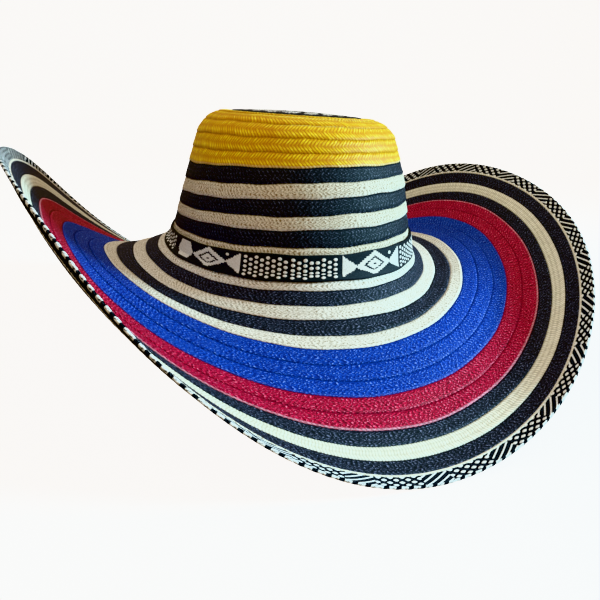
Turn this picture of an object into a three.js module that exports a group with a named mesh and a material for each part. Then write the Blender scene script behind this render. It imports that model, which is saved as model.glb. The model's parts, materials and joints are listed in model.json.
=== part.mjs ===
// A wide straw hat sewn from turns of flat braid, in millimetres, +Z up, front towards -Y.
// Each turn is one closed ring-shaped solid. The turns lie like shingles: the outer edge of each
// turn stands a little above the inner edge of the next one, all the way from the top to the brim's edge.
import * as THREE from "three";

// Driving sizes
const footHalfWidth = 86;
const footHalfLength = 102;
const crownHeight = 88.5;
const taperLinear = 0.167;
const taperSquare = 0.078;
const shoulderRadius = 14.5;
const topFlat = 5.4;
const brimWidth = 145;
const strawThickness = 1.6;
const edgeThickness = 2.4;
const bandThickness = 1.4;
const toothStep = 0.9;
const sewingGap = 0.3;
const stations = 48;

// How far the crown's turns lean, in degrees: up on the right, up at the back.
const crownTilt = [
  { height: 0, right: 3.1, back: 1.1 },
  { height: 0.5, right: 4.7, back: -3 },
  { height: 1, right: 0, back: 0 },
];

// How steeply the brim rises, in degrees, at eight directions, from its foot to its edge.
const brimSlopes = [
  { width: 0, right: -45, backRight: -50, back: -65, backLeft: -40,
    left: -35, frontLeft: -70, front: -60, frontRight: -80 },
  { width: 0.25, right: 7, backRight: -21, back: -43, backLeft: -27,
    left: 5, frontLeft: -7, front: -41, frontRight: -5 },
  { width: 0.5, right: 24, backRight: 3, back: -37, backLeft: 3,
    left: 38, frontLeft: -1, front: -33, frontRight: -29 },
  { width: 0.75, right: 46, backRight: 42, back: -31, backLeft: 38,
    left: 61, frontLeft: 40, front: -30, frontRight: 15 },
  { width: 1, right: 51, backRight: 72, back: 0, backLeft: 47,
    left: 52, frontLeft: 65, front: 0, frontRight: 49 },
];
const directionNames = [
  "right", "backRight", "back", "backLeft", "left", "frontLeft", "front", "frontRight",
];

const colours = {
  yellow: 0xe8b818,
  black: 0x14161e,
  white: 0xe6e2cf,
  blue: 0x1440c0,
  red: 0xc01440,
  cream: 0xeee0b0,
};

// The crown's turns below the yellow ones: where each ends, as a share of the crown's height.
const yellowTurns = 5;
const yellowEnd = 0.652;
const crownTurns = [
  { name: "crown_black_1", colour: "black", end: 0.542 },
  { name: "crown_white_1", colour: "white", end: 0.444 },
  { name: "crown_black_2", colour: "black", end: 0.343 },
  { name: "crown_white_2", colour: "white", end: 0.26 },
  { name: "crown_black_3", colour: "black", end: 0.157 },
  { name: "crown_white_3", colour: "white", end: 0.04 },
];
const bandTop = 0.115;
const bandBottom = 0.038;

// The brim's turns: where each ends, as a share of the brim's width.
const brimTurns = [
  { name: "brim_white_1", colour: "white", end: 0.074 },
  { name: "brim_black_1", colour: "black", end: 0.14 },
  { name: "brim_white_2", colour: "white", end: 0.205 },
  { name: "brim_black_2", colour: "black", end: 0.282 },
  { name: "brim_white_3", colour: "white", end: 0.343 },
  { name: "brim_blue_1", colour: "blue", end: 0.418 },
  { name: "brim_blue_2", colour: "blue", end: 0.493 },
  { name: "brim_blue_3", colour: "blue", end: 0.567 },
  { name: "brim_red_1", colour: "red", end: 0.642 },
  { name: "brim_red_2", colour: "red", end: 0.716 },
  { name: "brim_black_3", colour: "black", end: 0.782 },
  { name: "brim_white_4", colour: "white", end: 0.847 },
  { name: "brim_black_4", colour: "black", end: 0.919 },
  { name: "brim_line", colour: "cream", end: 0.929 },
  { name: "brim_edge", colour: "black", end: 1 },
];

const angles = Array.from({ length: stations }, (_, i) => (2 * Math.PI * i) / stations);

// Looks a value up in a table whose rows run upwards in the column key.
function lookUp(rows, key, column, at) {
  let low = rows[0];
  for (const high of rows) {
    if (at <= high[key] && high !== low) {
      const share = (at - low[key]) / (high[key] - low[key]);
      return low[column] + share * (high[column] - low[column]);
    }
    low = high;
  }
  return low[column];
}

// A smooth closed curve through eight evenly spaced values.
function smoothRound(values, angle) {
  const count = values.length;
  let sum = 0;
  values.forEach((value, i) => {
    const from = angle - (2 * Math.PI * i) / count;
    let weight = 1 + Math.cos((count / 2) * from);
    for (let order = 1; order < count / 2; order += 1) weight += 2 * Math.cos(order * from);
    sum += (value * weight) / count;
  });
  return sum;
}

// The level outward direction of the hat's oval at an angle.
function outwardAt(angle) {
  return new THREE.Vector3(Math.cos(angle) / footHalfWidth, Math.sin(angle) / footHalfLength, 0).normalize();
}

// One closed line round the crown, at a height and drawn in by inset.
function crownLine(height, inset) {
  const share = height / crownHeight;
  const scale = 1 - taperLinear * share - taperSquare * share * share;
  const right = Math.tan(THREE.MathUtils.degToRad(lookUp(crownTilt, "height", "right", share)));
  const back = Math.tan(THREE.MathUtils.degToRad(lookUp(crownTilt, "height", "back", share)));
  return angles.map((angle) => {
    const x = (footHalfWidth * scale - inset) * Math.cos(angle);
    const y = (footHalfLength * scale - inset) * Math.sin(angle);
    return new THREE.Vector3(x, y, height + right * x + back * y);
  });
}

// One closed line round the yellow part, at a distance along the straw from the plate's rim.
function shoulderLine(along) {
  const arc = (shoulderRadius * Math.PI) / 2;
  if (along <= topFlat) return crownLine(crownHeight, shoulderRadius + topFlat - along);
  if (along <= topFlat + arc) {
    const bend = (along - topFlat) / shoulderRadius;
    return crownLine(
      crownHeight - shoulderRadius * (1 - Math.cos(bend)),
      shoulderRadius * (1 - Math.sin(bend)),
    );
  }
  return crownLine(crownHeight - shoulderRadius - (along - topFlat - arc), 0);
}

// The brim's closed lines, walked outwards from the crown's foot in small steps.
const brimSteps = 200;
function brimWalk() {
  const step = brimWidth / brimSteps;
  const foot = crownLine(0, 0);
  return angles.map((angle, i) => {
    const outward = outwardAt(angle);
    const places = [foot[i].clone()];
    const here = foot[i].clone();
    for (let k = 0; k < brimSteps; k += 1) {
      const share = (k + 0.5) / brimSteps;
      const values = directionNames.map((name) => lookUp(brimSlopes, "width", name, share));
      const slope = THREE.MathUtils.degToRad(smoothRound(values, angle));
      here.addScaledVector(outward, Math.cos(slope) * step);
      here.z += Math.sin(slope) * step;
      places.push(here.clone());
    }
    return places;
  });
}
const walked = brimWalk();

function brimLine(share) {
  const at = share * brimSteps;
  const low = Math.min(Math.floor(at), brimSteps - 1);
  return walked.map((places) => places[low].clone().lerp(places[low + 1], at - low));
}

// The direction out of the straw's visible side, from the lines before and after.
function faceDirections(before, after) {
  return angles.map((angle, i) => {
    const along = after[i].clone().sub(before[i]);
    const outward = outwardAt(angle);
    const level = along.dot(outward);
    return outward.multiplyScalar(-along.z).add(new THREE.Vector3(0, 0, level)).normalize();
  });
}

function closedGeometry(points, faces) {
  const geometry = new THREE.BufferGeometry();
  const numbers = points.flatMap((p) => p.toArray());
  geometry.setAttribute("position", new THREE.Float32BufferAttribute(numbers, 3));
  geometry.setIndex(faces);
  geometry.computeVertexNormals();
  return geometry;
}

// A ring-shaped solid over closed lines, each line with a face direction, an outer and an inner offset.
function ringSolid(lines) {
  const points = [];
  const around = 2 * lines.length;
  for (let i = 0; i < stations; i += 1) {
    const place = (line, offset) => line.at[i].clone().addScaledVector(line.face[i], offset);
    for (const line of lines) points.push(place(line, line.outer));
    for (const line of [...lines].reverse()) points.push(place(line, line.inner));
  }
  const faces = [];
  for (let i = 0; i < stations; i += 1) {
    const here = i * around;
    const next = ((i + 1) % stations) * around;
    for (let k = 0; k < around; k += 1) {
      const l = (k + 1) % around;
      faces.push(here + k, here + l, next + l, here + k, next + l, next + k);
    }
  }
  return closedGeometry(points, faces);
}

// A closed disc between two closed lines, with a middle point on each side.
function discSolid(top, bottom) {
  const sum = (line) => line.reduce((total, p) => total.add(p), new THREE.Vector3());
  const middle = (line) => sum(line).divideScalar(line.length);
  const points = [...top, ...bottom, middle(top), middle(bottom)];
  const faces = [];
  for (let i = 0; i < stations; i += 1) {
    const next = (i + 1) % stations;
    faces.push(2 * stations, i, next);
    faces.push(2 * stations + 1, stations + next, stations + i);
    faces.push(i, stations + i, stations + next, i, stations + next, next);
  }
  return closedGeometry(points, faces);
}

const part = new THREE.Group();
const hat = new THREE.Group();
const crown = new THREE.Group();
const brim = new THREE.Group();
part.add(hat);
hat.add(crown, brim);
function addPiece(name, colour, geometry) {
  const color = colours[colour];
  const material = new THREE.MeshStandardMaterial({ color, roughness: 0.6, metalness: 0 });
  const mesh = new THREE.Mesh(geometry, material);
  mesh.name = name;
  (name.startsWith("brim") ? brim : crown).add(mesh);
}

// Every turn as a list of the closed lines it runs over, from its inner edge to its outer edge.
const rim = shoulderLine(0);
const turns = [];
const shoulderArc = (shoulderRadius * Math.PI) / 2;
const yellowLength = topFlat + shoulderArc + crownHeight * (1 - yellowEnd) - shoulderRadius;
for (let i = 0; i < yellowTurns; i += 1) {
  const from = (yellowLength * i) / yellowTurns;
  const to = (yellowLength * (i + 1)) / yellowTurns;
  const bends = from < topFlat + shoulderArc;
  const between = i === 0 ? topFlat : (from + to) / 2;
  const places = bends ? [from, between, to] : [from, to];
  turns.push({ name: `crown_yellow_${i + 1}`, colour: "yellow", lines: places.map(shoulderLine) });
}
let start = yellowEnd;
for (const turn of crownTurns) {
  const heights = [start * crownHeight, turn.end * crownHeight];
  turns.push({ ...turn, lines: heights.map((height) => crownLine(height, 0)) });
  start = turn.end;
}
let inner = 0;
for (const turn of brimTurns) {
  const underBand = [crownLine(start * crownHeight, 0), brimLine(0), brimLine(bandBottom)];
  const first = inner === 0 ? underBand : [brimLine(inner)];
  turns.push({ ...turn, lines: [...first, brimLine(turn.end)] });
  inner = turn.end;
}

// Moves every point of a line towards another line by a set distance.
function towards(line, other, distance) {
  return line.map((p, i) => p.clone().add(other[i].clone().sub(p).setLength(distance)));
}

turns.forEach((turn, index) => {
  const last = turn.lines.length - 1;
  const previous = index > 0 ? turns[index - 1].lines.at(-2) : rim;
  const following = index < turns.length - 1 ? turns[index + 1].lines[1] : turn.lines[last];
  const half = (turn.name === "brim_edge" ? edgeThickness : strawThickness) / 2;
  const lines = turn.lines.map((line, k) => {
    const before = k > 0 ? turn.lines[k - 1] : previous;
    const after = k < last ? turn.lines[k + 1] : following;
    const tooth = toothStep * (k / last - 0.5);
    let at = line;
    if (k === 0) at = towards(line, turn.lines[1], sewingGap / 2);
    if (k === last && index < turns.length - 1) at = towards(line, turn.lines[last - 1], sewingGap / 2);
    return { at, face: faceDirections(before, after), outer: tooth + half, inner: tooth - half };
  });
  addPiece(turn.name, turn.colour, ringSolid(lines));
});

// The plate in the middle of the top stands level with the first turn's inner edge.
const plateRim = towards(rim, crownLine(crownHeight, shoulderRadius + topFlat + 1), sewingGap / 2);
const plateUp = toothStep / 2 + strawThickness / 2;
const plateDown = toothStep / 2 - strawThickness / 2;
const raised = (height) => plateRim.map((p) => new THREE.Vector3(p.x, p.y, p.z + height));
addPiece("crown_plate", "white", discSolid(raised(plateUp), raised(plateDown)));

// The hatband lies over the crown's foot, clear of the straw beneath it.
const bandLines = [crownLine(bandTop * crownHeight, 0), brimLine(0), brimLine(bandBottom)];
const bandEnds = [crownLine(bandTop * crownHeight + 1, 0), brimLine(brimTurns[0].end)];
const bandInner = strawThickness / 2 + toothStep / 2 + sewingGap;
const bandOuter = bandInner + bandThickness;
const bandPath = [bandEnds[0], ...bandLines, bandEnds[1]];
const bandSections = bandLines.map((at, k) => {
  const face = faceDirections(bandPath[k], bandPath[k + 2]);
  return { at, face, outer: bandOuter, inner: bandInner };
});
addPiece("hatband", "black", ringSolid(bandSections));

// The origin is under the middle of the hat, at the lowest point of the brim.
const box = new THREE.Box3().setFromObject(hat, true);
const boxMiddle = box.getCenter(new THREE.Vector3());
hat.position.set(-boxMiddle.x, -boxMiddle.y, -box.min.z);

export default part;
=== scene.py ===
# A wide straw hat sewn from striped braid, dressed over its CAD solids.
# Every turn of braid is a fine strip with its strands in relief.
# Lengths are in millimetres until a mesh is made.
import json
import math

import bpy
import numpy as np
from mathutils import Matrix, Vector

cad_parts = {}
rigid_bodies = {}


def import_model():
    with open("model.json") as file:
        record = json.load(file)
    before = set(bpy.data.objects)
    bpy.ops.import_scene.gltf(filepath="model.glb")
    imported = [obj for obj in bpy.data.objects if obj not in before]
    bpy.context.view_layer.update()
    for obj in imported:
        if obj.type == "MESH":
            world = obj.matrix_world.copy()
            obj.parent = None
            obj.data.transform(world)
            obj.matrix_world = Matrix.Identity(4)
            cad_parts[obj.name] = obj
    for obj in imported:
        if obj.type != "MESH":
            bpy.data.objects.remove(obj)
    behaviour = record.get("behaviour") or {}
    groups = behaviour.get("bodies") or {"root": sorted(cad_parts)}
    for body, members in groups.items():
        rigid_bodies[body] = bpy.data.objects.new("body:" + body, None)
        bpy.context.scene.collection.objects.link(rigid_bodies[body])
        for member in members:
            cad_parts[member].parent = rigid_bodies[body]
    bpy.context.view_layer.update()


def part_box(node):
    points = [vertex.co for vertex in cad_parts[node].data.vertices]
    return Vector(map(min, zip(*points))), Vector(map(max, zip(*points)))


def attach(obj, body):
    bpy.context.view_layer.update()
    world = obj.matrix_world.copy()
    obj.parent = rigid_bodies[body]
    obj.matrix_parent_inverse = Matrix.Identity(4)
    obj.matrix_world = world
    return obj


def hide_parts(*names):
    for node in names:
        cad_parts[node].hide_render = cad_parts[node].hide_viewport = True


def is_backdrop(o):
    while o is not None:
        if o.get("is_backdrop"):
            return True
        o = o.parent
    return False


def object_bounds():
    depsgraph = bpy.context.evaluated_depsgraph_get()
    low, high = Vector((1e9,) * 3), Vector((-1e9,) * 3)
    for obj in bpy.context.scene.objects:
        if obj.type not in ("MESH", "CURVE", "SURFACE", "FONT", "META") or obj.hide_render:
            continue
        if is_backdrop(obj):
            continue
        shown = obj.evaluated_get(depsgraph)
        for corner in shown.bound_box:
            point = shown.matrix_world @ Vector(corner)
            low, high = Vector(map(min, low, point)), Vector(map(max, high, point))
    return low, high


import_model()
print("frame loaded")

hatForm = {
    "footHalfWidth": 86.0,
    "footHalfLength": 102.0,
    "crownHeight": 88.5,
    "taperLinear": 0.167,
    "taperSquare": 0.078,
    "shoulderRadius": 14.5,
    "topFlat": 5.4,
    "brimWidth": 145.0,
    "edgeStart": 0.929,  # share of the brim's width at which the edge braid begins
    "strawThickness": 1.6,
    "edgeThickness": 2.4,
    "toothStep": 0.9,
    "seamStep": 0.5,  # how far each turn's outer edge stands over the next turn
    "seamWander": 0.24,  # how far a wave of size 1 makes the hand-sewn seams stray
    "wanderFade": 15.0,  # the straying fades out over this length at the plate and near the rim
    "wanderEnd": 0.91,
}
# The waves of the seams: size, waves round the hat, turn for each millimetre outwards, and start.
seamWaves = ((1.0, 7, 0.21, 0.0), (0.7, 17, -0.13, 2.0))
crownHeight = hatForm["crownHeight"]
brimWidth = hatForm["brimWidth"]
arcEnd = hatForm["topFlat"] + hatForm["shoulderRadius"] * math.pi / 2
# the straw's length from the plate's rim to the crown's foot
footAt = arcEnd + crownHeight - hatForm["shoulderRadius"]

# How far the crown's turns lean, in degrees, at three shares of its height.
leanShares = (0.0, 0.5, 1.0)
leanRight = (3.1, 4.7, 0.0)
leanBack = (1.1, -3.0, 0.0)

# How steeply the brim rises, in degrees, at eight directions from the right round by the back.
slopeShares = (0.0, 0.25, 0.5, 0.75, 1.0)
slopeRows = np.array([
    (-45, -50, -65, -40, -35, -70, -60, -80),
    (7, -21, -43, -27, 5, -7, -41, -5),
    (24, 3, -37, 3, 38, -1, -33, -29),
    (46, 42, -31, 38, 61, 40, -30, 15),
    (51, 72, 0, 47, 52, 65, 0, 49),
], float)

plateLow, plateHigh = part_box("crown_plate")
hatPlace = np.array([
    (plateLow.x + plateHigh.x) * 500,
    (plateLow.y + plateHigh.y) * 500,
    plateHigh.z * 1000 - crownHeight - (hatForm["toothStep"] + hatForm["strawThickness"]) / 2,
])


def outwardAt(angle):
    x = np.cos(angle) / hatForm["footHalfWidth"]
    y = np.sin(angle) / hatForm["footHalfLength"]
    size = np.hypot(x, y)
    return np.stack([x / size, y / size, np.zeros_like(x)], -1)


def crownPoints(angle, height, inset):
    share = height / crownHeight
    scale = 1 - hatForm["taperLinear"] * share - hatForm["taperSquare"] * share**2
    right = np.tan(np.radians(np.interp(share, leanShares, leanRight)))
    back = np.tan(np.radians(np.interp(share, leanShares, leanBack)))
    x = (hatForm["footHalfWidth"] * scale - inset) * np.cos(angle)
    y = (hatForm["footHalfLength"] * scale - inset) * np.sin(angle)
    return np.stack([x, y, height + right * x + back * y], -1)


def shoulderPoints(angle, along):
    # over the flat rim, round the shoulder and down the crown's side
    radius = hatForm["shoulderRadius"]
    bend = np.clip((along - hatForm["topFlat"]) / radius, 0, math.pi / 2)
    flat = np.clip(hatForm["topFlat"] - along, 0, None)
    down = np.clip(along - arcEnd, 0, None)
    height = crownHeight - radius * (1 - np.cos(bend)) - down
    inset = radius * (1 - np.sin(bend)) + flat
    return crownPoints(angle, height, inset)


brimSteps = 200
brimStations = 720
brimReach = 1.02  # the surface goes on a little past the brim's rim


def walkBrim():
    angle = np.arange(brimStations) * 2 * math.pi / brimStations
    count = slopeRows.shape[1]
    away = angle[:, None] - np.arange(count) * 2 * math.pi / count
    weight = 1 + np.cos(count / 2 * away)
    for order in range(1, count // 2):
        weight += 2 * np.cos(order * away)
    shares = (np.arange(brimSteps) + 0.5) / brimSteps
    rows = np.stack([np.interp(shares, slopeShares, column) for column in slopeRows.T], -1)
    slope = np.radians(rows @ weight.T / count)
    step = brimWidth / brimSteps
    level = np.concatenate([np.zeros((1, brimStations)), np.cumsum(np.cos(slope) * step, 0)])
    rise = np.concatenate([np.zeros((1, brimStations)), np.cumsum(np.sin(slope) * step, 0)])
    foot = crownPoints(angle, np.zeros(brimStations), 0.0)
    grid = foot + level[:, :, None] * outwardAt(angle)
    grid[:, :, 2] += rise
    return grid


brimGrid = walkBrim()


def brimPoints(angle, share):
    across = np.clip(share, 0, brimReach) * brimSteps
    low = np.clip(np.floor(across).astype(int), 0, brimSteps - 1)
    part = (across - low)[..., None]
    around = np.mod(angle / (2 * math.pi), 1) * brimStations
    here = np.floor(around).astype(int) % brimStations
    beyond = (around - np.floor(around))[..., None]
    after = (here + 1) % brimStations
    inner = brimGrid[low, here] * (1 - beyond) + brimGrid[low, after] * beyond
    outer = brimGrid[low + 1, here] * (1 - beyond) + brimGrid[low + 1, after] * beyond
    return inner + (outer - inner) * part


def strawPoints(angle, along):
    # one surface for the whole hat: along is the distance from the plate's rim over the straw
    angle, along = np.broadcast_arrays(angle, along)
    wave = 0
    for size, waves, twist, first in seamWaves:
        wave = wave + size * np.sin(waves * angle + twist * along + first)
    fade = hatForm["wanderFade"]
    last = footAt + hatForm["wanderEnd"] * brimWidth
    inside = np.clip(along / fade, 0, 1) * np.clip((last - along) / fade, 0, 1)
    along = along + hatForm["seamWander"] * wave * inside
    onCrown = shoulderPoints(angle, np.minimum(along, footAt))
    onBrim = brimPoints(angle, (along - footAt) / brimWidth)
    return np.where((along < footAt)[..., None], onCrown, onBrim)


def strawFaces(angle, along, reach=1.0):
    # the direction out of the straw's visible side
    run = strawPoints(angle, along + reach) - strawPoints(angle, np.maximum(along - reach, 0))
    outward = outwardAt(np.broadcast_to(angle, run.shape[:-1]))
    level = (run * outward).sum(-1)
    face = -run[..., 2:3] * outward
    face[..., 2] = level
    return face / np.linalg.norm(face, axis=-1, keepdims=True)


lineAngles = np.linspace(-math.pi, math.pi, 2881)


def lengthsTo(along):
    # lengths from the left to each of the line's angles, along the line at this straw distance
    places = strawPoints(lineAngles, np.full_like(lineAngles, along))
    return np.concatenate([[0], np.cumsum(np.linalg.norm(np.diff(places, axis=0), axis=1))])


def lineLength(along):
    return lengthsTo(along)[-1]


def anglesAt(along, lengths):
    # lengths in millimetres from the left may run past the line's ends
    length = lengthsTo(along)
    rounds = np.floor(lengths / length[-1])
    return np.interp(lengths - rounds * length[-1], length, lineAngles) + rounds * 2 * math.pi


def hashed(numbers, seed):
    # an even spread of values from 0 to 1, the same each run
    value = np.sin(np.asarray(numbers, float) * 12.9898 + seed * 78.233) * 43758.5453
    return value - np.floor(value)


def makePiece(name, places, quads, measures, uvs, flags=None):
    # places in hat millimetres; uvs hold one pair for each corner of each quad
    # measures have a value for each point, flags one for each face
    mesh = bpy.data.meshes.new(name)
    mesh.vertices.add(len(places))
    mesh.vertices.foreach_set("co", ((places + hatPlace) / 1000).astype(np.float32).ravel())
    mesh.loops.add(quads.size)
    mesh.loops.foreach_set("vertex_index", quads.ravel().astype(np.int32))
    mesh.polygons.add(len(quads))
    mesh.polygons.foreach_set("loop_start", (np.arange(len(quads)) * 4).astype(np.int32))
    mesh.polygons.foreach_set("loop_total", np.full(len(quads), 4, np.int32))
    mesh.update(calc_edges=True)
    mesh.polygons.foreach_set("use_smooth", np.ones(len(quads), bool))
    layer = mesh.uv_layers.new(name="strand")
    layer.uv.foreach_set("vector", uvs.astype(np.float32).ravel())
    for domain, group in (("POINT", measures), ("FACE", flags or {})):
        for key, values in group.items():
            kept = mesh.attributes.new(key, "FLOAT", domain)
            kept.data.foreach_set("value", np.asarray(values, np.float32).ravel())
    mesh.validate()
    piece = bpy.data.objects.new(name, mesh)
    bpy.context.scene.collection.objects.link(piece)
    return piece


def dress(piece, node, material):
    piece.data.materials.append(material)
    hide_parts(node)
    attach(piece, "root")


def gridQuads(stations, lines, offset=0, flip=False):
    # closed round the stations, open across the lines
    station = np.arange(stations)[:, None]
    line = np.arange(lines - 1)[None, :]
    here = station * lines + line
    after = (station + 1) % stations * lines + line
    quads = np.stack([here, here + 1, after + 1, after], -1).reshape(-1, 4) + offset
    return quads[:, ::-1] if flip else quads


def gridUvs(x, y, flip=False):
    # x and y are given at stations + 1 places, so the last quads don't run back over the map
    pair = np.stack([x, y], -1)
    corners = np.stack([pair[:-1, :-1], pair[:-1, 1:], pair[1:, 1:], pair[1:, :-1]], 2)
    corners = corners.reshape(-1, 4, 2)
    return corners[:, ::-1] if flip else corners


braidForm = {
    "netRelief": (0.0, 0.62, 1.0, 0.62),  # relief at the four places along a strand of a net
    "rowRelief": (0.0, 0.85, 1.0, 0.8),  # and along a strand of any other weave
    "strandEnds": 0.45,  # relief where a strand dips under the next row
    "liftSpread": 0.12,  # how unevenly the strands are raised
    "sway": 0.6,  # how far loose strands bow across the braid
    "lip": 0.35,  # how far a turn's outer edge reaches over the next turn
    "lipRound": 0.35,
    "lipDrop": 0.95,
    "tuck": 0.2,  # how far the hidden outer edge stops short
    "headTuck": 0.15,  # and the hidden inner edge
    "selvage": 0.1,
    "underLines": 4,
    "underRelief": 0.18,
    "underRise": 0.1,
}


def makeBraid(turn):
    # one turn as a strip whose mesh lines follow its strands
    per = len(braidForm["netRelief"])
    start = turn["start"]
    end = turn["end"]
    width = end - start
    rows = turn["rows"]
    middle = (start + end) / 2
    strands = int(round(lineLength(middle) / turn["pitch"]))
    stations = strands * per
    step = lineLength(middle) / stations
    net = turn["weave"] == "net"
    lines = rows + 1 if net else 2 * rows + 1
    share = np.linspace(0, 1, lines)
    # stations that a strand moves on over half a row, there and back in a chevron
    slant = 0 if net else width / rows / step / 2 * turn["slant"]
    line = np.arange(lines)
    shift = np.array([0, 1, 2, 1])[line % 4] if turn["weave"] == "chevron" else line
    stationNumber = np.arange(stations + 1)[:, None]
    station = stationNumber + (shift * slant)[None, :]
    half = hatForm["strawThickness"] / 2
    tooth = hatForm["seamStep"] * (share - 0.5)

    # relief: 0 in the grooves between strands, 1 on their backs
    row = (line if net else np.clip(line // 2, 0, rows - 1))[None, :]
    brick = per // 2 if net else 0  # every other row of a net is moved on by half a strand
    moved = stationNumber + (row % 2) * brick
    if net:
        relief = np.array(braidForm["netRelief"])[moved % per]
    else:
        ends = np.where(line % 2 == 1, 1.0, braidForm["strandEnds"])
        relief = np.array(braidForm["rowRelief"])[moved % per] * ends[None, :]
    strand = moved // per % strands
    seed = turn["seed"]
    tint = hashed(strand * 7 + row * 131, seed)
    relief = relief * (1 - turn["unevenness"] * hashed(strand * 11 + row * 37, seed + 2))

    loose = turn["loose"] * (hashed(strand * 5 + row * 71, seed + 6) - 0.5)
    angle = anglesAt(middle, station * step + loose)
    sway = braidForm["sway"] * loose * np.sin(share * math.pi)[None, :]
    along = start + width * share[None, :] + sway
    face = strawFaces(angle, along)
    lift = tooth[None, :] + half + turn.get("raise", 0.0) - turn["depth"] * (1 - relief)
    lift = lift - braidForm["liftSpread"] * (hashed(strand * 3 + row * 17, seed + 4) - 0.5)
    top = strawPoints(angle, along) + face * lift[..., None]

    # the outer edge rolls over the next turn, the inner edge dips under the last one
    reach = turn.get("lip", braidForm["lip"])
    lipAlong = end + reach * (0.4 + 0.6 * relief[:, -2:-1])
    lipFace = face[:, -1:]
    lipBase = strawPoints(angle[:, -1:], lipAlong)
    lipHigh = lipBase + lipFace * (lift[:, -1:] - braidForm["lipRound"])[..., None]
    lipLow = lipBase + lipFace * (tooth[-1] + half - braidForm["lipDrop"])
    lipEnd = np.full_like(lipAlong, end - braidForm["tuck"])
    lipIn = strawPoints(angle[:, -1:], lipEnd) + lipFace * (tooth[-1] - half)
    headIn = strawPoints(angle[:, :1], along[:, :1] + braidForm["headTuck"]) + face[:, :1] * (tooth[0] - half)
    sheet = np.concatenate([headIn, top, lipHigh, lipLow, lipIn], 1)
    sheetLines = sheet.shape[1]
    places = sheet[:-1].reshape(-1, 3)
    quads = gridQuads(stations, sheetLines)
    strandX = (stationNumber + np.zeros((1, sheetLines))) / per
    strandY = np.concatenate([[-0.2], share * rows, [rows + 0.2, rows + 0.4, rows + 0.6]])
    uvs = gridUvs(strandX, strandY[None, :] + 0 * strandX)
    edge = np.clip((share - 1) / braidForm["selvage"] + 1, 0, 1)
    tail = np.ones((1, 3))
    reliefAll = np.concatenate([relief[:, :1] * 0.2, relief, relief[:, -2:-1] * 0.8 * tail], 1)
    tintAll = np.concatenate([tint[:, :1], tint, tint[:, -1:] * tail], 1)
    shareAll = np.concatenate([share[:1], share, share[-1:] * tail[0]])[None, :] + 0 * tintAll
    edgeAll = np.concatenate([edge[:1], edge, edge[-1:] * tail[0]])[None, :] + 0 * tintAll

    # the underside, with a point for each strand
    under = np.arange(0, stations + 1, per)
    underStrand = np.arange(len(under))[:, None]
    underLine = np.arange(braidForm["underLines"])
    underShare = np.linspace(0.02, 0.99, len(underLine))
    underStation = under[:, None] + (underLine % 2)[None, :] * per / 2
    underAngle = anglesAt(middle, underStation * step)
    underAlong = start + width * underShare[None, :] + 0 * underAngle
    underTooth = hatForm["toothStep"] * (underShare - 0.5)
    wave = np.where(underStrand % 2 == underLine[None, :] % 2, 1.0, 0.3)
    underLift = underTooth[None, :] - half - braidForm["underRelief"] * wave + braidForm["underRise"]
    underFace = strawFaces(underAngle, underAlong)
    underPlaces = strawPoints(underAngle, underAlong) + underFace * underLift[..., None]
    quadsUnder = gridQuads(len(under) - 1, len(underLine), len(places), True)
    underX = under[:, None] / per + 0 * underAlong
    uvsUnder = gridUvs(underX, underShare[None, :] * rows + 0 * underX, True)
    underTint = hashed(underStrand * 5 + underLine[None, :], seed)

    def joined(upper, lower):
        return np.concatenate([upper[:-1].ravel(), lower[:-1].ravel()])

    measures = {
        "relief": joined(reliefAll, wave),
        "tint": joined(tintAll, underTint),
        "across": joined(shareAll, underShare[None, :] + 0 * wave),
        "edge": joined(edgeAll, 0 * wave),
    }
    places = np.concatenate([places, underPlaces[:-1].reshape(-1, 3)])
    quads = np.concatenate([quads, quadsUnder])
    uvs = np.concatenate([uvs, uvsUnder])
    return makePiece(turn["name"] + "_braid", places, quads, measures, uvs)


# Materials
class Wire:  # a socket that can stand in sums
    def __init__(self, sheet, socket):
        self.sheet = sheet
        self.socket = socket

    def maths(self, operation, first, second):
        return self.sheet.node("ShaderNodeMath", {"operation": operation}, {0: first, 1: second})

    def alone(self, operation):
        return self.sheet.node("ShaderNodeMath", {"operation": operation}, {0: self})

    def __add__(self, other):
        return self.maths("ADD", self, other)

    def __radd__(self, other):
        return self.maths("ADD", other, self)

    def __sub__(self, other):
        return self.maths("SUBTRACT", self, other)

    def __rsub__(self, other):
        return self.maths("SUBTRACT", other, self)

    def __mul__(self, other):
        return self.maths("MULTIPLY", self, other)

    def __rmul__(self, other):
        return self.maths("MULTIPLY", other, self)


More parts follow.
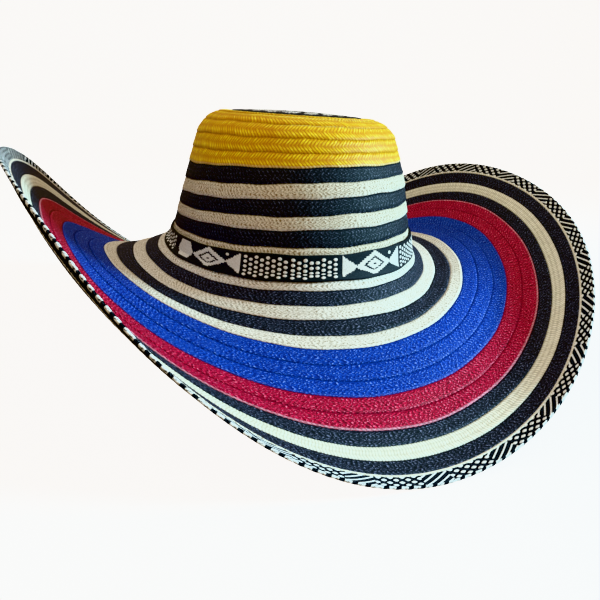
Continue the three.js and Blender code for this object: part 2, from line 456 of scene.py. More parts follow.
class Sheet:  # one material's nodes
    def __init__(self, name):
        self.material = bpy.data.materials.new(name)
        self.material.use_nodes = True
        self.tree = self.material.node_tree
        self.tree.nodes.clear()

    def node(self, kind, settings=None, sockets=None, out=0):
        made = self.tree.nodes.new(kind)
        for key, value in (settings or {}).items():
            setattr(made, key, value)
        for key, value in (sockets or {}).items():
            if isinstance(value, Wire):
                self.tree.links.new(value.socket, made.inputs[key])
            else:
                made.inputs[key].default_value = value
        return Wire(self, made.outputs[out]) if made.outputs else made

    def measure(self, name):
        return self.node("ShaderNodeAttribute", {"attribute_name": name}, {}, "Fac")

    def strandPlace(self):
        # X counts the strands along the braid, Y the rows across it
        return self.node("ShaderNodeUVMap", {"uv_map": "strand"})

    def part(self, vector, axis):
        return self.node("ShaderNodeSeparateXYZ", {}, {0: vector}, axis)

    def stretched(self, vector, factors):
        return self.node("ShaderNodeVectorMath", {"operation": "MULTIPLY"}, {0: vector, 1: factors})

    def smooth(self, value, low, high):
        settings = {"interpolation_type": "SMOOTHSTEP"}
        sockets = {"Value": value, "From Min": low, "From Max": high}
        return self.node("ShaderNodeMapRange", settings, sockets)

    def mixed(self, factor, first, second):
        return self.node("ShaderNodeMix", {"data_type": "RGBA"}, {0: factor, 6: first, 7: second}, 2)

    def noise(self, vector, scale, detail):
        sockets = {"Vector": vector, "Scale": scale, "Detail": detail, "Roughness": 0.6}
        return self.node("ShaderNodeTexNoise", {}, sockets, "Fac")

    def finish(self, sockets):
        shader = self.node("ShaderNodeBsdfPrincipled", {}, sockets)
        self.node("ShaderNodeOutputMaterial", {}, {"Surface": shader})
        return self.material


def rgb(*screen):
    # a colour as it looks on screen, each part given from 0 to 255
    linear = []
    for part in screen:
        share = part / 255
        linear.append(share / 12.92 if part <= 10 else ((share + 0.055) / 1.055) ** 2.4)
    return (*linear, 1.0)


grainForm = {
    "fibres": (9.0, 0.9, 1.0),  # noise for each strand and each row
    "grains": (2.9, 2.2, 1.0),
    "rows": (0.14, 1.1, 1.0),
    "clouds": 34.0,
    "stray": 1.6,  # how far a net's backs stray from their even places, in strands
    "slip": 3.2,  # and how far each row slips past its neighbours
    "highlightBlend": 0.14,
    "dipFrom": 0.48,
    "dipFull": 0.36,
    "roughSpread": 0.25,
    "grooveRough": 0.12,
    "bumpStrength": 0.6,
    "bumpHeight": 0.0004,
}


def strawNodes(sheet, look):
    # the colour, roughness and normal that all the straws share
    strand = sheet.strandPlace()
    place = sheet.node("ShaderNodeTexCoord", {}, {}, "Object")
    relief = sheet.measure("relief")
    tint = sheet.measure("tint")
    fibre = sheet.noise(sheet.stretched(strand, grainForm["fibres"]), 1.0, 3.0)
    grain = sheet.noise(sheet.stretched(strand, grainForm["grains"]), 1.0, 1.0)
    cloudy = sheet.noise(place, grainForm["clouds"], 2.0)
    if look["net"]:
        # backs and dimples alternate along the rows and across them
        stray = grainForm["stray"] * (grain - 0.5)
        rows = sheet.stretched(strand, grainForm["rows"])
        slip = grainForm["slip"] * (sheet.noise(rows, 1.0, 0.0) - 0.5)
        along = (sheet.part(strand, "X") + stray + slip) * (2 * math.pi)
        across = (sheet.part(strand, "Y") + stray) * math.pi
        waves = along.alone("COSINE") * across.alone("COSINE")
        relief = 0.75 * (0.5 - 0.5 * waves) + 0.25 * relief
    height = sheet.smooth(relief, look["grooveTop"], look["backTop"])
    body = sheet.mixed(tint * look["tintReach"], look["strand"], look["second"])
    body = sheet.mixed(sheet.smooth(cloudy, 0.35, 0.75) * look["cloudReach"], body, look["cloud"])
    body = sheet.mixed(sheet.smooth(fibre, 0.52, 0.8) * look["streakReach"], body, look["streak"])
    # painted highlights: where the grain is high, strand backs are lightened to the highlight colour, as
    # glints of the lamps
    highlighted = sheet.smooth(grain, look["highlightFrom"], look["highlightFrom"] + grainForm["highlightBlend"])
    highlighted = highlighted * sheet.smooth(relief, 0.3, 0.9)
    body = sheet.mixed(highlighted * look["highlightReach"], body, look["highlight"])
    # painted shade in dimples: where the grain is low the colour goes over to the groove colour
    dark = sheet.smooth(grain, grainForm["dipFrom"], grainForm["dipFull"])
    body = sheet.mixed(dark * look["dipReach"], body, look["groove"])
    # painted shade: where the relief is low, in the grooves between strands, the colour goes over to the
    # groove colour
    colour = sheet.mixed(height, look["groove"], body)
    rough = look["roughness"] + grainForm["roughSpread"] * (grain - 0.5)
    rough = rough + grainForm["grooveRough"] * (1 - height)
    bump = sheet.node("ShaderNodeBump", {}, {
        "Strength": grainForm["bumpStrength"],
        "Distance": grainForm["bumpHeight"],
        "Height": 0.4 * fibre + grain,
    })
    return colour, rough, bump


def strawMaterial(name, look):
    sheet = Sheet(name)
    colour, rough, bump = strawNodes(sheet, look)
    across = sheet.measure("across")
    if look["edgeReach"]:
        # the outer edge's colour breaks up in the grooves
        backs = sheet.smooth(sheet.measure("relief"), 0.2, 0.8)
        broken = sheet.smooth(sheet.measure("edge"), 0.35, 0.9) * (0.35 + 0.65 * backs)
        colour = sheet.mixed(broken * look["edgeReach"], colour, look["edge"])
    # painted shade: the inner edge lies in the last turn's shadow, so it is darkened to the groove colour
    shade = sheet.smooth(across, look["shadeWidth"], 0.0) * look["shadeReach"]
    colour = sheet.mixed(shade, colour, look["groove"])
    if look["stitches"]:
        # one stitch for every two strands, near the outer edge
        dash = (sheet.part(sheet.strandPlace(), "X") * 0.5).alone("FRACT")
        line = sheet.smooth(across, 0.72, 0.75) * sheet.smooth(across, 0.84, 0.8)
        line = line * sheet.smooth(dash, 0.25, 0.35)
        colour = sheet.mixed(line * look["stitches"], colour, look["groove"])
    return sheet.finish({
        "Base Color": colour,
        "Roughness": rough,
        "Normal": bump,
        "Specular IOR Level": look["gloss"],
        "Sheen Weight": look["sheen"],
        "Sheen Roughness": 0.4,
        "Sheen Tint": (1.0, 0.94, 0.3, 1.0),
    })


def dyes(*colours):
    # the screen colours of a strand, its neighbours, faded patches, streaks, painted highlights and the
    # grooves' painted shade, in this order
    names = ("strand", "second", "cloud", "streak", "highlight", "groove")
    return {name: rgb(*colour) for name, colour in zip(names, colours)}


plainLook = {
    "grooveTop": 0.1,  # relief below which a strand shows the groove colour, a painted shade
    "backTop": 0.8,
    "highlightFrom": 0.52,  # grain above which a strand's back gets a painted highlight
    "highlightReach": 0.7,
    "dipReach": 0.5,
    "tintReach": 0.8,
    "cloudReach": 0.35,
    "streakReach": 0.35,
    "edgeReach": 0.0,
    "shadeWidth": 0.14,
    "shadeReach": 0.6,
    "stitches": 0.0,
    "net": True,
    "roughness": 0.55,
    "gloss": 0.22,
    "sheen": 0.0,
}
yellowLook = {
    **plainLook,
    **dyes((246, 216, 22), (248, 226, 34), (240, 200, 12), (250, 234, 66), (253, 249, 104), (194, 126, 2)),
    "net": False,
    "backTop": 0.9,
    "edge": rgb(250, 242, 196),
    "shadeReach": 0.25,
    "dipReach": 0.65,
    "sheen": 0.28,
    "roughness": 0.5,
    "gloss": 0.4,
}
blackLook = {
    **plainLook,
    **dyes((42, 44, 54), (52, 55, 68), (34, 36, 44), (64, 68, 84), (112, 119, 140), (9, 10, 13)),
    "grooveTop": 0.3,
    "backTop": 1.0,
    "highlightFrom": 0.45,
    "highlightReach": 0.9,
    "dipReach": 0.7,
    "gloss": 0.25,
}
whiteLook = {
    **plainLook,
    **dyes(
        (232, 226, 212), (238, 233, 221), (226, 216, 196), (240, 237, 229), (248, 247, 243), (152, 136, 108),
    ),
    "backTop": 0.6,
    "shadeReach": 0.35,
    "edge": rgb(240, 238, 230),
    "edgeReach": 0.6,
    "dipReach": 0.3,
}
blueLook = {
    **plainLook,
    **dyes((22, 70, 188), (30, 82, 202), (14, 58, 170), (46, 98, 212), (140, 172, 244), (2, 20, 100)),
    "backTop": 0.9,
    "highlightFrom": 0.49,
    "shadeReach": 0.45,
    "highlightReach": 0.9,
    "dipReach": 0.8,
    "gloss": 0.18,
}
redLook = {
    **plainLook,
    **dyes((208, 22, 64), (216, 34, 78), (200, 16, 56), (232, 80, 118), (246, 142, 170), (92, 0, 18)),
    "highlightReach": 0.85,
    "grooveTop": 0.2,
    "highlightFrom": 0.5,
    "dipReach": 0.6,
}
creamLook = {
    **plainLook,
    **dyes(
        (250, 248, 236), (252, 250, 240), (246, 242, 226), (248, 246, 238), (252, 251, 246), (214, 205, 180),
    ),
    "net": False,
    "shadeReach": 0.0,
    "dipReach": 0.15,
}
# painted shade: the crown's white turns are the same white straw as the brim's, given darker and warmer dyes
crownWhiteLook = {
    **whiteLook,
    **dyes(
        (220, 210, 188), (227, 219, 199), (212, 198, 170), (232, 226, 210), (244, 240, 230), (136, 114, 80),
    ),
    "dipReach": 0.4,
}
brimBlackLook = {
    **blackLook,
    **dyes((56, 58, 72), (66, 68, 86), (46, 48, 58), (78, 82, 102), (134, 141, 170)),
    "grooveTop": 0.25,
}
ribbedLook = {
    **whiteLook,
    "net": False,
    "strand": rgb(243, 240, 218),
    "second": rgb(247, 245, 228),
    "cloud": rgb(238, 232, 204),
    "groove": rgb(190, 184, 162),
    "dipReach": 0.4,
}
looks = {
    "yellow_straw": yellowLook,
    "yellow_straw_cream_edge": {**yellowLook, "edgeReach": 0.9},
    "black_straw": blackLook,
    "white_straw": whiteLook,
    "white_straw_stitched": {**whiteLook, "stitches": 0.4},
    "blue_straw": blueLook,
    "blue_straw_pale_edge": {**blueLook, "edge": rgb(100, 98, 176), "edgeReach": 0.45},
    "red_straw": redLook,
    "red_straw_pink_edge": {**redLook, "edge": rgb(232, 178, 194), "edgeReach": 0.75},
    "cream_straw": creamLook,
    "crown_white_straw": crownWhiteLook,
    "brim_black_straw": brimBlackLook,
    "white_straw_ribbed": ribbedLook,
}
materials = {name: strawMaterial(name, look) for name, look in looks.items()}
print("straws dyed")

# The weaves. Pitch is the length for each strand, depth that of the grooves, and loose how far strands stray.
coarse = {"weave": "chevron", "rows": 2, "pitch": 2.2, "slant": -0.8, "depth": 0.3}
coarse |= {"unevenness": 0.4, "loose": 0.35}
netted = {"weave": "net", "rows": 4, "pitch": 2.8, "depth": 0.42, "unevenness": 0.5, "loose": 0.7}
fine = {"weave": "net", "rows": 5, "pitch": 3.0, "depth": 0.1, "unevenness": 0.5, "loose": 1.0}
ribbed = {"weave": "chevron", "rows": 3, "pitch": 1.9, "slant": 0.25, "depth": 0.2}
ribbed |= {"unevenness": 0.4, "loose": 0.3}
corded = {"weave": "slanted", "rows": 1, "pitch": 2.4, "slant": 1.0, "depth": 0.15}
corded |= {"unevenness": 0.1, "loose": 0.0, "lip": 0.2, "raise": 0.4}

# The turns of braid from the top to the brim's edge.
# The ends are shares of the crown's height, then of the brim's width.
yellowEnd = 0.652
yellowTurns = 5
yellowLength = arcEnd + crownHeight * (1 - yellowEnd) - hatForm["shoulderRadius"]
turns = []
for number in range(yellowTurns):
    turns.append({
        "name": f"crown_yellow_{number + 1}",
        "start": yellowLength * number / yellowTurns,
        "end": yellowLength * (number + 1) / yellowTurns,
        "straw": "yellow_straw" if number < yellowTurns - 1 else "yellow_straw_cream_edge",
        **coarse,
    })


def addTurn(name, straw, end, weave):
    turns.append({"name": name, "start": turns[-1]["end"], "end": end, "straw": straw, **weave})


crownEnds = [
    ("crown_black_1", "black_straw", 0.542),
    ("crown_white_1", "crown_white_straw", 0.444),
    ("crown_black_2", "black_straw", 0.343),
    ("crown_white_2", "crown_white_straw", 0.26),
    ("crown_black_3", "black_straw", 0.157),
    ("crown_white_3", "crown_white_straw", 0.04),
]
for name, straw, end in crownEnds:
    addTurn(name, straw, footAt - end * crownHeight, netted)
brimEnds = [
    ("brim_white_1", "white_straw", 0.074, fine),
    ("brim_black_1", "brim_black_straw", 0.14, fine),
    ("brim_white_2", "white_straw", 0.205, fine),
    ("brim_black_2", "brim_black_straw", 0.282, fine),
    ("brim_white_3", "white_straw_stitched", 0.343, fine),
    ("brim_blue_1", "blue_straw", 0.418, fine),
    ("brim_blue_2", "blue_straw", 0.493, fine),
    ("brim_blue_3", "blue_straw_pale_edge", 0.567, fine),
    ("brim_red_1", "red_straw", 0.642, fine),
    ("brim_red_2", "red_straw_pink_edge", 0.716, fine),
    ("brim_black_3", "brim_black_straw", 0.782, fine),
    ("brim_white_4", "white_straw_ribbed", 0.847, ribbed),
    ("brim_black_4", "brim_black_straw", 0.919, fine),
    ("brim_line", "cream_straw", hatForm["edgeStart"], corded),
]
for name, straw, end, weave in brimEnds:
    addTurn(name, straw, footAt + end * brimWidth, weave)

for number, turn in enumerate(turns):
    turn["seed"] = number + 1
    colour = turn["name"].split("_")[1]
    slot = "straw_cream" if colour == "line" else "straw_" + colour
    dress(makeBraid(turn), turn["name"], materials[turn["straw"]])
print("turns sewn:", len(turns))


deepBlackLook = {
    **blackLook,
    "net": False,
    "grooveTop": 0.1,
    "strand": rgb(20, 21, 24),
    "second": rgb(26, 27, 31),
    "highlight": rgb(60, 64, 72),
}
grainStep = 2.4  # millimetres of patterned straw to each strand of the grain


def patternMaterial(name, look, sharpness):
    # black straw with white straw where the pattern measure is high
    sheet = Sheet(name)
    dark, rough, bump = strawNodes(sheet, deepBlackLook)
    pale = strawNodes(sheet, look)[0]
    pattern = sheet.smooth(sheet.measure("pattern"), 0.5 - sharpness, 0.5 + sharpness)
    return sheet.finish({
        "Base Color": sheet.mixed(pattern, dark, pale),
        "Roughness": rough + pattern * 0.1,
        "Normal": bump,
        "Specular IOR Level": look["gloss"],
    })


bandForm = {
    "cell": 0.8,  # the woven cells that a figure is made of
    "step": 0.4,
    "top": 0.115,  # share of the crown's height
    "bottom": 0.038,  # share of the brim's width
    "measuredAt": 1.0,  # its length is measured this far above the crown's foot
    "thickness": 1.4,
    "clearance": 0.05,
    "underLift": 0.1,
    "relief": 0.32,
    "rimFall": 0.7,
    "figureMiddle": 7.5,
    "figureHalf": 6.5,
    "dotAcross": 3.65,
    "dotDown": 2.68,
    "dotFirst": 2.5,
    "dotHalfWidth": 1.32,
    "dotHalfHeight": 0.88,
    "dotGap": 0.75,
    "arrowDot": (1.0, 3.0),  # the single dot over each arrowhead that points left
}
bandDotRows = [5, 4, 5, 4, 5, 4, 5, 4, 5, 4, 5, 4, 4, 5, 4, 5]
# The hatband's figures, in millimetres round the band from the hat's left.
bandFigures = [
    ("dots", -44.5, 14.5), ("block", 20.5, 42), ("diamond", 42.3, 73.2), ("arrowLeft", 73.2, 83.8),
    ("dots", 85.7, 144.9), ("arrowRight", 147.6, 157.2),
    ("diamond", 156.4, 184.8), ("arrowLeft", 183.8, 195.5),
    ("dots", 197.4, 256.6), ("arrowRight", 259.2, 269), ("diamond", 268.4, 297), ("arrowLeft", 296.4, 308),
    ("dots", 310, 369.2), ("arrowRight", 372, 382), ("diamond", 381.4, 410), ("arrowLeft", 409.4, 421),
    ("dots", 423, 482.2), ("arrowRight", 485, 495), ("diamond", 494.4, 523), ("arrowLeft", 522.4, 534),
]


def figureCells(figure, along, height):
    # along runs from 0 to 1 over the figure, height from -1 at its top to 1 at its bottom
    aside = np.abs(2 * along - 1)
    level = np.abs(height)
    if figure == "diamond":
        far = aside + level
        return ((far < 1.04) & (far > 0.62) & (level < 1)) | ((far < 0.45) & (far > 0.1))
    if figure == "block":
        return (level < 0.95) & (aside + 0.45 * level < 0.98)
    widening = along if figure == "arrowLeft" else 1 - along
    return (level < 0.06 + 0.92 * widening) & (along < 1)


def ovalAt(right, down):
    far = (right / bandForm["dotHalfWidth"]) ** 2 + (down / bandForm["dotHalfHeight"]) ** 2
    return np.clip(0.5 + 1.1 * (1 - far), 0, 1)


def dotField(right, down):
    # two equal blocks of columns, each column with its own number of dots
    count = len(bandDotRows)
    block = (right > count / 2 * bandForm["dotAcross"] + bandForm["dotGap"] / 2).astype(int)
    place = right - block * bandForm["dotGap"]
    column = np.clip(np.floor(place / bandForm["dotAcross"]), 0, count - 1).astype(int)
    aside = place - (column + 0.5) * bandForm["dotAcross"]
    number = np.array(bandDotRows)[column]
    first = bandForm["dotFirst"] + np.where(number == 5, 0.0, bandForm["dotDown"] / 2)
    row = np.clip(np.round((down - first) / bandForm["dotDown"]), 0, number - 1)
    return ovalAt(aside, down - first - row * bandForm["dotDown"])


def makeBand(form):
    start = footAt - form["top"] * crownHeight
    end = footAt + form["bottom"] * brimWidth
    width = end - start
    middle = footAt - form["measuredAt"]
    around = lineLength(middle)
    stations = int(round(around / form["step"]))
    lines = int(round(width / form["step"])) + 1
    cell = form["cell"]
    share = np.linspace(0, 1, lines)
    right = np.arange(stations + 1)[:, None] * around / stations + np.zeros((1, lines))
    down = share[None, :] * width + 0 * right
    angle = anglesAt(middle, right)
    along = start + down
    cellRight = np.floor(right / cell) + 0.5
    cellDown = np.floor(down / cell) + 0.5
    inCell = np.cos((right / cell - cellRight) * math.pi) * np.cos((down / cell - cellDown) * math.pi)
    lump = 0.35 + 0.65 * np.clip(inCell, 0, 1) ** 0.5
    height = (cellDown * cell - form["figureMiddle"]) / form["figureHalf"]
    white = np.zeros_like(right)
    for figure, first, last in bandFigures:
        past = np.mod(right - first, around)
        inside = past < last - first
        if figure == "dots":
            dots = dotField(past, down)
            white = np.where(inside, dots, white)
            lump = np.where(inside, 0.2 + 0.8 * dots, lump)
        else:
            over = np.mod(cellRight * cell - first, around) / (last - first)
            drawn = np.maximum(figureCells(figure, over, height), white)
            white = np.where(inside | (over < 1), drawn, white)
        if figure == "arrowLeft":
            aside, below = form["arrowDot"]
            away = np.mod(right - first - aside + around / 2, around) - around / 2
            white = np.maximum(white, ovalAt(away, down - below))
    rim = np.minimum(np.minimum(share, 1 - share) * width / form["rimFall"], 1)[None, :]
    seat = (hatForm["strawThickness"] + hatForm["toothStep"]) / 2 + form["clearance"]
    rounded = form["thickness"] * (0.45 + 0.4 * np.sqrt(rim))
    lifts = seat + rounded + form["relief"] * lump * (0.5 + 0.5 * white)
    tint = hashed(cellRight * 13 + cellDown * 7, 3)

    # the top, with one line of the hidden side before it and half its lines behind it
    places = strawPoints(angle, along)
    face = strawFaces(angle, along)
    top = places + face * lifts[..., None]
    lower = places + face * (seat + form["underLift"])
    sheet = np.concatenate([lower[:, :1], top, lower[:, ::-2]], 1)
    measures = {}
    for key, values in (("relief", lump), ("tint", tint), ("pattern", white)):
        measures[key] = np.concatenate([values[:, :1], values, values[:, ::-2]], 1)[:-1].ravel()
    x = np.arange(stations + 1)[:, None] / 2 + np.zeros((1, sheet.shape[1]))
    y = np.concatenate([[-1], share * width / grainStep, share[::-2] * width / grainStep])[None, :] + 0 * x
    quads = gridQuads(stations, sheet.shape[1])
    return makePiece("hatband_woven", sheet[:-1].reshape(-1, 3), quads, measures, gridUvs(x, y))


bandLook = {
    **whiteLook,
    "net": False,
    "strand": rgb(232, 229, 220),
    "second": rgb(238, 236, 230),
    "groove": rgb(150, 142, 124),
}
bandMaterial = patternMaterial("black_white_woven", bandLook, 0.15)
dress(makeBand(bandForm), "hatband", bandMaterial)
print("hatband woven")

edgeForm = {
    "step": 0.6,  # millimetres between stations
    "topLines": 21,
    "bendLines": 6,
    "backLines": 9,
    "backReach": 9.0,  # the lines beneath are close up to here, then one more and the inner side
    "backLast": 12.0,
    "chained": 28.0,  # over this length black bands cut the white strands into chains of ovals
    "plain": 17.0,  # and over this length they run on
    "first": 17.6,
    "strandPeriod": 7.0,
    "strandLean": 1.7,  # how far a strand moves on round the hat for each millimetre outwards
    "strandHalf": 0.42,  # half a white strand's width, as a share of the period
    "lineHalf": 0.2,  # and where the strands run on
    "bandPeriod": 7.4,
    "bandLean": 1.05,
    "ovalAt": 0.34,
    "ovalHalf": 0.34,
    "blackAt": 0.78,
    "blackHalf": 0.22,
    "sideFrom": 0.7,  # share of the width from which the grooves also cut into the outer side
    "depth": 0.34,
    "outset": 0.18,
    "rounding": 0.9,
    "underHalf": 0.8,
    "rimBeneath": 5.0,  # the white strands end in ovals round the rim, up to here beneath
    "rimHalf": 0.37,
    "rimLean": 0.4,
    "flatten": 1.2,  # widens the white of every back
}
# Where the edge is narrower than its CAD ring: by how much at most, and in which direction in degrees.
edgeTrims = ((1.7, -88), (1.9, 12))
trimFall = 1.6
trimReach = 0.98


def backAt(place, middle, half):
    # a rounded back round the middle of each period
    return np.clip(1 - ((place - np.floor(place) - middle) / half) ** 2, 0, 1)


def makeEdge(form):
    start = footAt + hatForm["edgeStart"] * brimWidth
    end = footAt + brimWidth
    width = end - start
    half = hatForm["edgeThickness"] / 2
    middle = (start + end) / 2
    around = lineLength(middle)
    stations = int(round(around / form["step"]))
    # the section runs over the top, down the outer side and back beneath
    bendStart = width - form["rounding"]
    top = np.linspace(0, bendStart, form["topLines"])
    bend = np.linspace(0, math.pi, form["bendLines"] + 2)[1:-1]
    back = np.linspace(bendStart, width - form["backReach"], form["backLines"])
    back = np.concatenate([back, [width - form["backLast"], 0]])
    out = np.concatenate([top, width - form["rounding"] * (1 - np.sin(bend)), back])
    up = np.concatenate([top * 0 + half, half * np.cos(bend), back * 0 - half])
    up = np.where(up < 0, up / half * form["underHalf"], up)
    lines = len(out)
    run = np.concatenate([[0], np.cumsum(np.hypot(np.diff(out), np.diff(up)))])
    length = np.arange(stations + 1)[:, None] * around / stations + np.zeros((1, lines))
    angle = anglesAt(middle, length)
    fold = form["chained"] + form["plain"]
    groups = round(around / fold)
    within = np.mod((length - form["first"]) * groups * fold / around, fold)
    chained = within < form["chained"]
    strand = (within + form["strandLean"] * run[None, :]) / form["strandPeriod"]
    band = (within - form["bandLean"] * run[None, :]) / form["bandPeriod"]
    whiteStrand = backAt(strand, 0.5, np.where(chained, form["strandHalf"], form["lineHalf"]))
    chain = np.where(chained, backAt(band, form["ovalAt"], form["ovalHalf"]), 1.0)
    flatten = form["flatten"]
    pattern = np.clip(whiteStrand * flatten, 0, 1) * np.clip(chain * flatten, 0, 1)
    # round the rim, ovals that carry the strands on and fade out beneath
    rimAt = run[len(top) - 1]
    rim = (run > rimAt) & (run < rimAt + form["rimBeneath"])
    past = (run - rimAt)[None, :]
    wound = within + form["strandLean"] * rimAt + form["rimLean"] * past
    oval = backAt(wound / form["strandPeriod"], 0.5, form["rimHalf"])
    oval = oval * np.clip(1.5 - 1.5 * ((past / form["rimBeneath"] - 0.4) / 0.6) ** 2, 0, 1)
    pattern = np.where(rim[None, :], np.clip(oval * flatten, 0, 1), pattern * (np.arange(lines) < len(top)))
    blackHalf = form["blackHalf"]
    blackBack = backAt(band, form["blackAt"], blackHalf)
    blackBack = np.where(chained, blackBack, backAt(strand + 0.5, 0.5, blackHalf))
    relief = np.maximum(np.sqrt(whiteStrand * chain), np.sqrt(blackBack))
    sink = form["depth"] * (1 - relief)
    tooth = hatForm["seamStep"] * (out / width - 0.5)
    lifts = tooth[None, :] + up[None, :] * (1 - sink / half)
    trim = 0 * angle
    for size, direction in edgeTrims:
        away = np.mod(angle - math.radians(direction) + math.pi, 2 * math.pi) - math.pi
        trim = trim + size * np.clip(np.cos(away * trimFall), 0, 1) * (np.abs(away) < trimReach)
    along = start + out[None, :] * (1 - trim / width)
    side = 1 - form["sideFrom"]
    cut = np.clip(out / width - form["sideFrom"], 0, side) / side
    along = along - cut[None, :] * sink + form["outset"]
    face = strawFaces(angle, along)
    sheet = strawPoints(angle, along) + face * lifts[..., None]
    places = sheet[:-1].reshape(-1, 3)
    tint = hashed(np.floor(strand) * 5 + np.floor(band) * 3, 9)
    measures = {}
    for key, values in (("relief", np.clip(relief, 0, 1)), ("tint", tint), ("pattern", pattern)):
        measures[key] = values[:-1].ravel()
    uvs = gridUvs(length / grainStep, run[None, :] / grainStep + 0 * length)
    return makePiece("brim_edge_braid", places, gridQuads(stations, lines), measures, uvs)


edgeLook = {
    **whiteLook,
    "net": False,
    "strand": rgb(234, 240, 240),
    "second": rgb(244, 248, 248),
    "groove": rgb(64, 64, 62),
    "gloss": 0.0,
}
edgeMaterial = patternMaterial("black_white_edge", edgeLook, 0.12)
dress(makeEdge(edgeForm), "brim_edge", edgeMaterial)
print("edge braided")

plateForm = {
    "rings": 56,
    "stations": 384,
    "hole": 0.02,  # share of the radius that the middle leaves open
    "dome": 1.8,
    "relief": 0.3,
    "ripples": 96,
    "rippleTwist": 40,
    "rimFall": 0.5,
    "rimFrom": 0.97,
    "petals": 12,
    "dashes": 14,
    "dashShare": 0.7,
    "teeth": 18,
}


def platePattern(radius, angle):
    # radius from 0 at the middle to 1 at the rim; returns 1 for white straw
    turn = angle / (2 * math.pi)

    def zigzag(count):
        return np.abs(np.mod(turn * count, 1) * 2 - 1)

    def ring(low, high):
        return (radius > low) & (radius < high)

    petals = ring(0.12, 0.38) & (np.abs((radius - 0.25) / 0.13) + zigzag(plateForm["petals"]) < 0.95)
    slanted = np.mod(turn * plateForm["dashes"] + radius * 1.5, 1)
    dashes = ring(0.52, 0.72) & (slanted < plateForm["dashShare"])
    teeth = ring(0.79, 0.86) & ((radius - 0.79) / 0.07 < zigzag(plateForm["teeth"]))
    return ((radius < 0.06) | petals | ring(0.42, 0.46) | dashes | teeth).astype(float)


def makePlate(form):
    rings = form["rings"]
    stations = form["stations"]
    rimInset = hatForm["shoulderRadius"] + hatForm["topFlat"]
    angle = np.arange(stations + 1)[:, None] * 2 * math.pi / stations + np.zeros((1, rings + 1))
    radius = np.linspace(form["hole"], 1.0, rings + 1)[None, :] + 0 * angle
    rim = crownPoints(angle, np.full(angle.shape, crownHeight), rimInset)
    level = crownHeight + (hatForm["toothStep"] + hatForm["strawThickness"]) / 2
    ripple = 0.5 + 0.5 * np.cos(angle * form["ripples"] + radius * form["rippleTwist"])
    relief = np.where(np.arange(rings + 1)[None, :] % 2 == 1, 1.0, 0.35) * (0.45 + 0.55 * ripple)
    rimFrom = form["rimFrom"]
    drop = np.clip((radius - rimFrom) / (1 - rimFrom), 0, 1) ** 2 * form["rimFall"]
    # runs outwards over the top, then back under
    top = rim * radius[..., None]
    top[..., 2] = level + form["dome"] * (1 - radius**2) - form["relief"] * (1 - relief) - drop
    low = top[:, ::-4].copy()
    low[..., 2] = level - hatForm["strawThickness"] + 0.1
    sheet = np.concatenate([top, low], 1)
    count = sheet.shape[1]
    x = np.arange(stations + 1)[:, None] / 4 + np.zeros((1, count))
    y = np.concatenate([radius[0], radius[0, ::-4]])[None, :] * 20 + 0 * x
    white = platePattern((radius[:-1, :-1] + radius[:-1, 1:]) / 2, angle[:-1, :-1] + math.pi / stations)
    hidden = np.zeros((stations, count - 1 - white.shape[1]))
    tint = hashed(np.floor(angle * 30) * 3 + np.floor(radius * rings / 2), 5)
    measures = {}
    for key, values in (("relief", relief), ("tint", tint)):
        measures[key] = np.concatenate([values, values[:, ::-4]], 1)[:-1].ravel()
    flags = {"pattern": np.concatenate([white, hidden], 1).ravel()}
    places = sheet[:-1].reshape(-1, 3)
    return makePiece("crown_plate_woven", places, gridQuads(stations, count), measures, gridUvs(x, y), flags)


dress(makePlate(plateForm), "crown_plate", bandMaterial)
print("plate woven")

# The camera stands where the photograph was taken from, in the hat's own directions.
cameraForm = {
    "distance": 481.4,
    "rise": 11.289,
    "focal": 629.6,  # pixels over a picture 600 wide
    "roll": 3.863,
    "aimRight": 12.133,
    "aimUp": -50.168,
    "yaw": 19.44,
}


def turned(vector):
    # from the camera's directions, right, away from it and up, to the hat's
    yaw = math.radians(-cameraForm["yaw"])
    x, y, z = vector
    return np.array([x * math.cos(yaw) - y * math.sin(yaw), x * math.sin(yaw) + y * math.cos(yaw), z])


def unit(vector):
    return vector / np.linalg.norm(vector)


def hang(data, columns):
    # an object whose axes and place are these four columns
    thing = bpy.data.objects.new(data.name, data)
    bpy.context.scene.collection.objects.link(thing)
    matrix = thing.matrix_world.copy()
    for number, column in enumerate(columns):
        for row in range(3):
            matrix[row][number] = float(column[row])
    thing.matrix_world = matrix
    return thing


def makeCamera(form):
    rise = math.radians(form["rise"])
    place = form["distance"] * np.array([0, -math.cos(rise), math.sin(rise)])
    ahead = unit(np.array([form["aimRight"], 0, form["aimUp"]]) - place)
    side = unit(np.cross(ahead, [0, 0, 1]))
    up = np.cross(side, ahead)
    roll = math.radians(form["roll"])
    right = side * math.cos(roll) + up * math.sin(roll)
    above = up * math.cos(roll) - side * math.sin(roll)
    data = bpy.data.cameras.new("photo_view")
    data.sensor_width = 36
    data.sensor_fit = "HORIZONTAL"
    data.lens = form["focal"] / 600 * 36
    data.clip_start = 0.01
    # a camera looks along its own downward axis, so its third axis points back at the viewer
    columns = (turned(right), turned(above), -turned(ahead), (turned(place) + hatPlace) / 1000)
    bpy.context.scene.camera = hang(data, columns)


makeCamera(cameraForm)

# Floor and backdrop, in metres
stageForm = {
    "halfWidth": 3.0,
    "front": -1.6,
    "depth": 2.6,
    "bend": 0.8,
    "bendSteps": 12,
    "height": 2.6,
    "drop": 0.0002,  # how far the paper lies below the hat's lowest point
    "shade": rgb(150, 150, 150),
    "grain": rgb(144, 144, 144),
    "glow": 1.6,
}


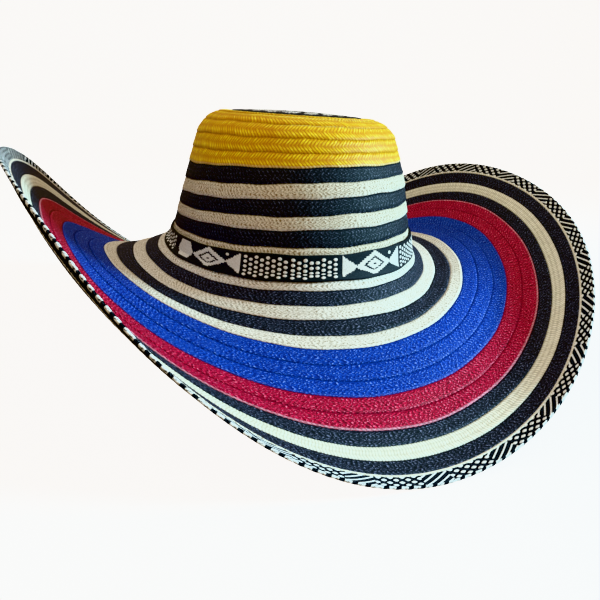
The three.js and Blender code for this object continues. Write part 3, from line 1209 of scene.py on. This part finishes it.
def makeStage(form):
    lowest = min(0.0, float(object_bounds()[0][2]))
    radius = form["bend"]
    section = [(form["front"], 0.0), (form["depth"] - radius, 0.0)]
    for step in range(form["bendSteps"]):
        bend = math.pi / 2 * (step + 1) / form["bendSteps"]
        section.append((form["depth"] - radius + radius * math.sin(bend), radius * (1 - math.cos(bend))))
    section.append((form["depth"], form["height"]))
    vertices = []
    for side in (-1, 1):
        for back, up in section:
            corner = (side * form["halfWidth"], back, up + lowest - form["drop"])
            vertices.append(turned(corner).tolist())
    count = len(section)
    faces = [(k, k + count, k + count + 1, k + 1) for k in range(count - 1)]
    mesh = bpy.data.meshes.new("studio_floor")
    mesh.from_pydata(vertices, [], faces)
    mesh.polygons.foreach_set("use_smooth", [True] * len(faces))
    floor = bpy.data.objects.new("studio_floor", mesh)
    bpy.context.scene.collection.objects.link(floor)
    sheet = Sheet("studio_paper")
    grain = sheet.noise(sheet.node("ShaderNodeTexCoord", {}, {}, "Object"), 60.0, 2.0)
    mesh.materials.append(sheet.finish({
        "Base Color": sheet.mixed(grain * 0.1, form["shade"], form["grain"]),
        "Roughness": 0.9,
        "Specular IOR Level": 0.1,
        "Emission Color": (1.0, 0.99, 0.98, 1.0),
        "Emission Strength": form["glow"],
    }))
    # the paper is for the camera alone, so it neither lights the straw nor mirrors in it
    floor.visible_diffuse = False
    floor.visible_glossy = False
    floor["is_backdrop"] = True


makeStage(stageForm)

# Lights: where each stands as seen from the camera's side of the hat, in metres from the hat's middle.
keyLight = {"place": (1.0, -0.17, 0.44), "size": 0.3, "power": 25.5, "colour": (0.44, 0.76, 0.93)}
topLight = {"place": (-0.2, -0.9, 1.6), "size": 0.9, "power": 10.0, "colour": (0.95, 0.97, 0.94)}
lightAim = np.array([0.0, 0.0, 0.08])
backdropLight = {"place": (0.0, 0.9, 2.3), "lean": 50, "size": (3.6, 0.9), "power": 40.0}
airForm = {"colour": (1.0, 0.76, 0.5, 1.0), "strength": 0.42}


def makeLights():
    for name, light in (("key_light", keyLight), ("top_light", topLight)):
        data = bpy.data.lights.new(name, "AREA")
        data.energy = light["power"]
        data.color = light["colour"]
        data.shape = "DISK"
        data.size = light["size"]
        place = turned(light["place"])
        back = unit(place - lightAim)
        side = unit(np.cross([0, 0, 1], back))
        hang(data, (side, np.cross(back, side), back, place))
    # one more lamp, above and behind the hat, is turned towards the backdrop
    data = bpy.data.lights.new("backdrop_light", "AREA")
    data.energy = backdropLight["power"]
    data.shape = "RECTANGLE"
    data.size, data.size_y = backdropLight["size"]
    lamp = bpy.data.objects.new("backdrop_light", data)
    bpy.context.scene.collection.objects.link(lamp)
    lamp.location = turned(backdropLight["place"])
    lamp.rotation_euler = (math.radians(backdropLight["lean"]), 0, math.radians(-cameraForm["yaw"]))
    world = bpy.data.worlds.new("studio_air")
    bpy.context.scene.world = world
    world.use_nodes = True
    background = world.node_tree.nodes["Background"]
    background.inputs["Color"].default_value = airForm["colour"]
    background.inputs["Strength"].default_value = airForm["strength"]
    bpy.context.scene.view_settings.view_transform = "Khronos PBR Neutral"


makeLights()

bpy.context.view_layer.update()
straws = [piece for piece in bpy.data.objects if piece.name.endswith(("_braid", "_woven"))]
print("faces in the straw:", sum(len(piece.data.polygons) for piece in straws))
